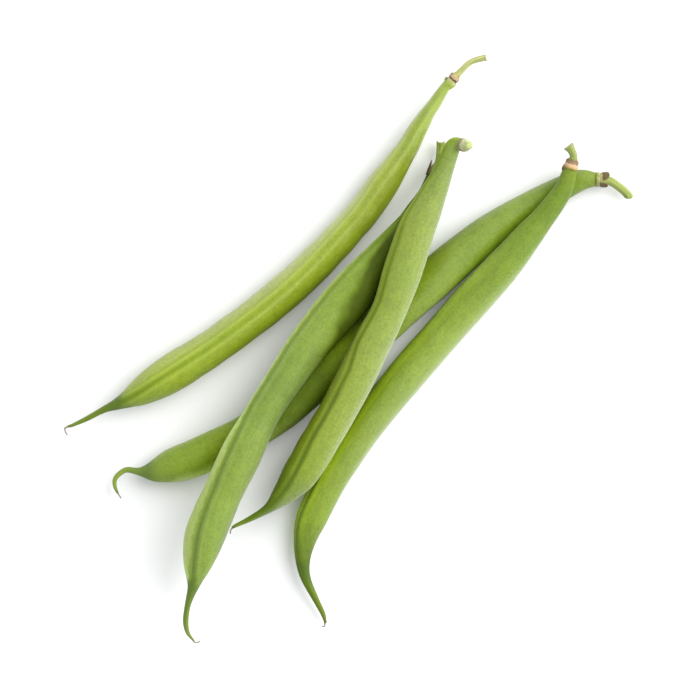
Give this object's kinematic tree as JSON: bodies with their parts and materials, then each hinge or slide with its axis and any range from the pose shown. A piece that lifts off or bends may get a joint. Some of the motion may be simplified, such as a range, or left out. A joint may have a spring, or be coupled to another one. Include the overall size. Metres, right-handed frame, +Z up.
{
  "type": "green bean bundle",
  "caption": "Loose bundle of whole fresh green bean pods lying across each other, each with its calyx, cut stem and dried tip.",
  "frame": {"origin": "on the surface that the beans lie on, under the middle of the bundle's box", "axes": "+Z up from that surface; +Y towards the stem ends of the bundle and +X towards the right-hand bean, as seen from above"},
  "size_m": [0.1418, 0.1468, 0.0245],
  "materials": {
    "pod": "satin green skin with a fine felt of hairs, mottled lighter and darker, with a seam along each edge",
    "calyx": "dry tan and brown papery collar",
    "stem": "matt pale yellow-green stalk with a whitish cut end",
    "style": "matt dried brown thread"
  },
  "bodies": {
    "root": {"left_pod": "pod", "left_calyx": "calyx", "left_stem": "stem", "left_style": "style", "middle_pod": "pod", "middle_calyx": "calyx", "middle_stem": "stem", "middle_style": "style", "top_pod": "pod", "top_calyx": "calyx", "top_stem": "stem", "top_style": "style", "under_pod": "pod", "under_calyx": "calyx", "under_stem": "stem", "under_style": "style", "right_pod": "pod", "right_calyx": "calyx", "right_stem": "stem", "right_style": "style"}
  },
  "joints": []
}
